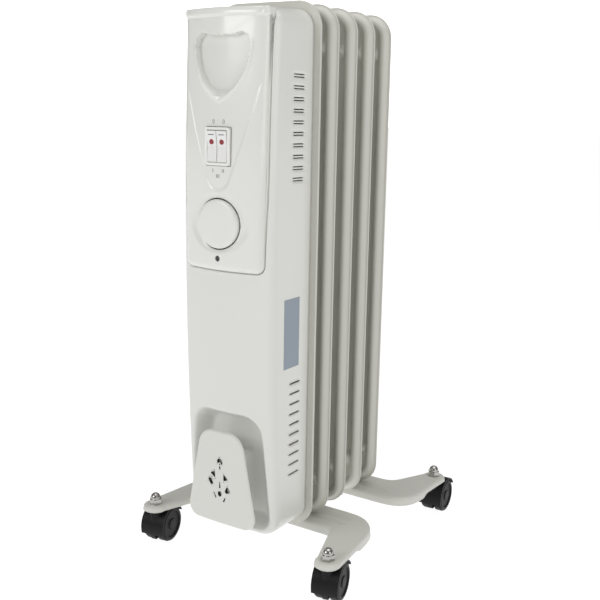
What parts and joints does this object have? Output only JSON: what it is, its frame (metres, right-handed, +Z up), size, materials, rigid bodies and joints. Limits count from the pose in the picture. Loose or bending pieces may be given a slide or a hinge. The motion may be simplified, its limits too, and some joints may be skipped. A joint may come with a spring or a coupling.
{
  "type": "oil filled radiator heater",
  "caption": "Oil filled column radiator with a plastic control housing, dial, rocker switches, cord hook and stamped feet on swivel casters.",
  "frame": {"origin": "on the floor, on the middle plane of the fins, halfway between the frontmost and the rearmost point", "axes": "-Y is the control side, +X is to the right of someone who stands in front of the controls and looks at them, +Z up"},
  "size_m": [0.2801, 0.3438, 0.625],
  "materials": {
    "bezel_plastic": "gloss",
    "element_steel": "heat tinted",
    "fin_paint": "satin",
    "foot_paint": "satin",
    "gland_rubber": "matte",
    "hood_black": "satin",
    "hook_plastic": "fine texture",
    "housing_plastic": "semi gloss",
    "knob_plastic": "gloss",
    "label_film": "printed film",
    "lens_red": "clear red",
    "nut_chrome": "polished",
    "panel_plastic": "gloss",
    "phenolic": "matte",
    "plated_steel": "zinc plated",
    "rocker_plastic": "gloss",
    "shield_steel": "zinc plated",
    "switch_black": "matte",
    "terminal_white": "matte",
    "wheel_black": "satin"
  },
  "bodies": {
    "radiator": {"fin_1_front": "fin_paint", "fin_1_rear": "fin_paint", "fin_2_front": "fin_paint", "fin_2_rear": "fin_paint", "fin_3_front": "fin_paint", "fin_3_rear": "fin_paint", "fin_4_front": "fin_paint", "fin_4_rear": "fin_paint", "fin_5_front": "fin_paint", "fin_5_rear": "fin_paint", "header_rings": "plated_steel", "header_end_caps": "fin_paint", "oil_plug": "plated_steel", "element_flange": "plated_steel", "heating_element": "element_steel", "element_terminals": "plated_steel", "heat_shield": "shield_steel", "shield_screws": "plated_steel", "front_housing": "housing_plastic", "rating_label": "label_film", "control_panel": "panel_plastic", "panel_screw": "plated_steel", "switch_bezel": "bezel_plastic", "switch_body": "switch_black", "rocker_pin": "plated_steel", "thermostat_body": "phenolic", "thermal_cutout": "phenolic", "terminal_block": "terminal_white", "cord_gland": "gland_rubber", "cord_hook": "hook_plastic", "hook_screws": "plated_steel", "front_foot": "foot_paint", "rear_foot": "foot_paint", "u_bolts": "plated_steel", "wing_nuts": "plated_steel", "caster_stems": "plated_steel", "cap_nuts": "nut_chrome"},
    "dial": {"thermostat_knob": "knob_plastic", "thermostat_shaft": "plated_steel"},
    "switch_low": {"rocker_low": "rocker_plastic", "lens_low": "lens_red"},
    "switch_high": {"rocker_high": "rocker_plastic", "lens_high": "lens_red"},
    "caster_1": {"hood_1": "hood_black", "axle_1": "plated_steel"},
    "roller_1_left": {"wheel_1_left": "wheel_black"},
    "roller_1_right": {"wheel_1_right": "wheel_black"},
    "caster_2": {"hood_2": "hood_black", "axle_2": "plated_steel"},
    "roller_2_left": {"wheel_2_left": "wheel_black"},
    "roller_2_right": {"wheel_2_right": "wheel_black"},
    "caster_3": {"hood_3": "hood_black", "axle_3": "plated_steel"},
    "roller_3_left": {"wheel_3_left": "wheel_black"},
    "roller_3_right": {"wheel_3_right": "wheel_black"},
    "caster_4": {"hood_4": "hood_black", "axle_4": "plated_steel"},
    "roller_4_left": {"wheel_4_left": "wheel_black"},
    "roller_4_right": {"wheel_4_right": "wheel_black"}
  },
  "joints": [
    {"name": "dial_turn", "type": "hinge", "parent": "radiator", "child": "dial", "pos_m": [0, -0.1631, 0.4], "axis": [0, -1, 0], "range_deg": [0, 270]},
    {"name": "rocker_low_tilt", "type": "hinge", "parent": "radiator", "child": "switch_low", "pos_m": [-0.0064, -0.1641, 0.478], "axis": [1, 0, 0], "range_deg": [-6, 0]},
    {"name": "rocker_high_tilt", "type": "hinge", "parent": "radiator", "child": "switch_high", "pos_m": [0.0064, -0.1641, 0.478], "axis": [1, 0, 0], "range_deg": [-6, 0]},
    {"name": "caster_1_swivel", "type": "hinge", "parent": "radiator", "child": "caster_1", "pos_m": [-0.1215, -0.1367, 0.045], "axis": [0, 0, 1], "continuous": true},
    {"name": "wheel_1_left_roll", "type": "hinge", "parent": "caster_1", "child": "roller_1_left", "pos_m": [-0.12369, -0.12287, 0.021], "axis": [0.9877, 0.1564, 0], "continuous": true},
    {"name": "wheel_1_right_roll", "type": "hinge", "parent": "caster_1", "child": "roller_1_right", "pos_m": [-0.12369, -0.12287, 0.021], "axis": [0.9877, 0.1564, 0], "continuous": true},
    {"name": "caster_2_swivel", "type": "hinge", "parent": "radiator", "child": "caster_2", "pos_m": [0.1215, -0.1367, 0.045], "axis": [0, 0, 1], "continuous": true},
    {"name": "wheel_2_left_roll", "type": "hinge", "parent": "caster_2", "child": "roller_2_left", "pos_m": [0.11859, -0.12301, 0.021], "axis": [0.9781, 0.2079, 0], "continuous": true},
    {"name": "wheel_2_right_roll", "type": "hinge", "parent": "caster_2", "child": "roller_2_right", "pos_m": [0.11859, -0.12301, 0.021], "axis": [0.9781, 0.2079, 0], "continuous": true},
    {"name": "caster_3_swivel", "type": "hinge", "parent": "radiator", "child": "caster_3", "pos_m": [0.116, 0.1345, 0.045], "axis": [0, 0, 1], "continuous": true},
    {"name": "wheel_3_left_roll", "type": "hinge", "parent": "caster_3", "child": "roller_3_left", "pos_m": [0.11527, 0.14848, 0.021], "axis": [0.9986, 0.0523, 0], "continuous": true},
    {"name": "wheel_3_right_roll", "type": "hinge", "parent": "caster_3", "child": "roller_3_right", "pos_m": [0.11527, 0.14848, 0.021], "axis": [0.9986, 0.0523, 0], "continuous": true},
    {"name": "caster_4_swivel", "type": "hinge", "parent": "radiator", "child": "caster_4", "pos_m": [-0.116, 0.1345, 0.045], "axis": [0, 0, 1], "continuous": true},
    {"name": "wheel_4_left_roll", "type": "hinge", "parent": "caster_4", "child": "roller_4_left", "pos_m": [-0.11478, 0.14845, 0.021], "axis": [0.9962, -0.0872, 0], "continuous": true},
    {"name": "wheel_4_right_roll", "type": "hinge", "parent": "caster_4", "child": "roller_4_right", "pos_m": [-0.11478, 0.14845, 0.021], "axis": [0.9962, -0.0872, 0], "continuous": true}
  ]
}
